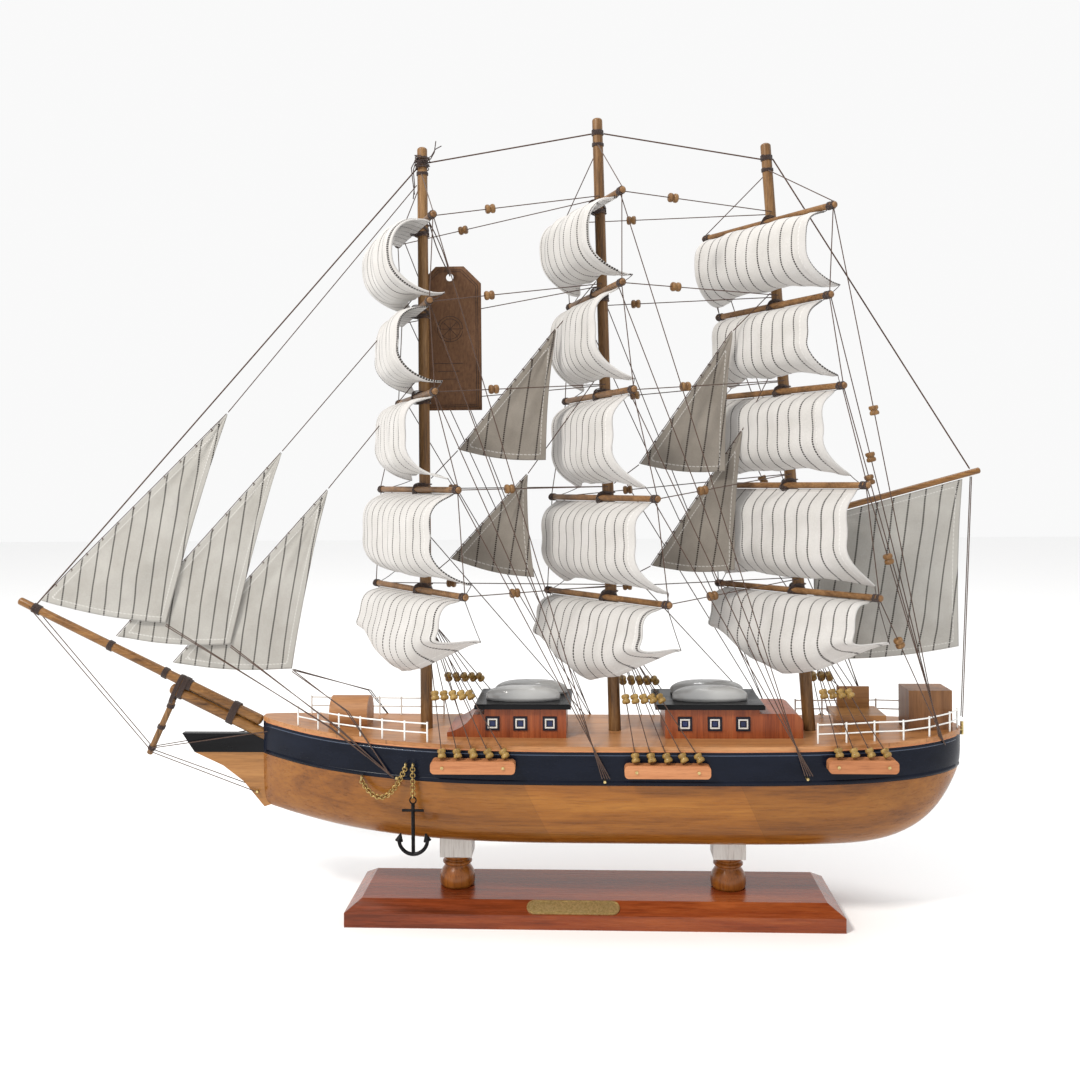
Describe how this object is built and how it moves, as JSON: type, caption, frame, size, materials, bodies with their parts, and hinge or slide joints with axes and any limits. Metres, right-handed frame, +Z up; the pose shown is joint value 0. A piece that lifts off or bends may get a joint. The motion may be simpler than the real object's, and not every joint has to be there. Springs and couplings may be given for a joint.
{
  "type": "model sailing ship",
  "caption": "Wooden model of a square-rigged sailing ship with curved cloth sails, thread rigging and deck fittings, on a bevelled wooden stand.",
  "frame": {"origin": "centre of the base plank's underside", "axes": "+X to the stern (the bow and jib-boom are at -X), -Y to port, +Z up"},
  "size_m": [0.6119, 0.1078, 0.497],
  "materials": {
    "base_wood": "glossy reddish varnish",
    "stand_wood": "satin varnish",
    "pale_wood": "bare, sanded",
    "hull_wood": "orange-brown varnish with grain",
    "navy_paint": "dark navy gloss paint",
    "deck_wood": "satin planking",
    "house_wood": "satin red-brown stain",
    "spar_wood": "stained dowel, satin",
    "black_paint": "black gloss paint",
    "boat_paint": "silver-grey gloss paint",
    "block_wood": "light brown, satin",
    "sail_cloth": "woven cotton",
    "thread": "waxed brown thread",
    "white_wire": "white paint",
    "brass": "brushed",
    "dark_metal": "dark patina",
    "window_paint": "dark blue panes in white and black frames",
    "kraft_card": "kraft card with string"
  },
  "bodies": {
    "ship": {"aft_house": "house_wood", "aft_lower_staysail": "sail_cloth", "aft_upper_staysail": "sail_cloth", "base_plank": "base_wood", "bowsprit": "spar_wood", "brace_blocks": "block_wood", "channels": "hull_wood", "cutwater": "hull_wood", "cutwater_head": "navy_paint", "deadeyes": "block_wood", "deck": "deck_wood", "deck_bench": "block_wood", "deck_rails": "white_wire", "deck_ramp": "house_wood", "dolphin_striker": "spar_wood", "fore_block": "block_wood", "fore_house": "house_wood", "fore_lower_staysail": "sail_cloth", "fore_mast": "spar_wood", "fore_sail_1": "sail_cloth", "fore_sail_2": "sail_cloth", "fore_sail_3": "sail_cloth", "fore_sail_4": "sail_cloth", "fore_sail_5": "sail_cloth", "fore_upper_staysail": "sail_cloth", "house_roofs": "black_paint", "house_windows": "window_paint", "hull_band": "navy_paint", "hull_lower": "hull_wood", "hull_pins": "brass", "hull_risers": "pale_wood", "jib_1": "sail_cloth", "jib_2": "sail_cloth", "jib_3": "sail_cloth", "jib_boom": "spar_wood", "main_mast": "spar_wood", "main_sail_1": "sail_cloth", "main_sail_2": "sail_cloth", "main_sail_3": "sail_cloth", "main_sail_4": "sail_cloth", "main_sail_5": "sail_cloth", "mizzen_mast": "spar_wood", "mizzen_sail_1": "sail_cloth", "mizzen_sail_2": "sail_cloth", "mizzen_sail_3": "sail_cloth", "mizzen_sail_4": "sail_cloth", "mizzen_sail_5": "sail_cloth", "nameplate": "brass", "pedestals": "stand_wood", "running_rigging": "thread", "ship_boats": "boat_paint", "slack_chain": "dark_metal", "spanker_gaff": "spar_wood", "spanker_sail": "sail_cloth", "standing_rigging": "thread", "stern_box": "house_wood", "yards": "spar_wood"},
    "anchor_chain_body": {"anchor_chain": "dark_metal"},
    "anchor_body": {"anchor": "dark_metal"},
    "tag_body": {"swing_tag": "kraft_card"}
  },
  "joints": [
    {"name": "anchor_chain_swing", "type": "hinge", "parent": "ship", "child": "anchor_chain_body", "pos_m": [-0.106, -0.04217, 0.1], "axis": [-1, 0, 0], "range_deg": [0, 60]},
    {"name": "anchor_swing", "type": "hinge", "parent": "anchor_chain_body", "child": "anchor_body", "pos_m": [-0.106, -0.04217, 0.07964], "axis": [0, 1, 0], "range_deg": [-35, 35]},
    {"name": "tag_swing", "type": "hinge", "parent": "ship", "child": "tag_body", "pos_m": [-0.10044, 0.00356, 0.434], "axis": [0, -1, 0], "range_deg": [0, 20]}
  ]
}
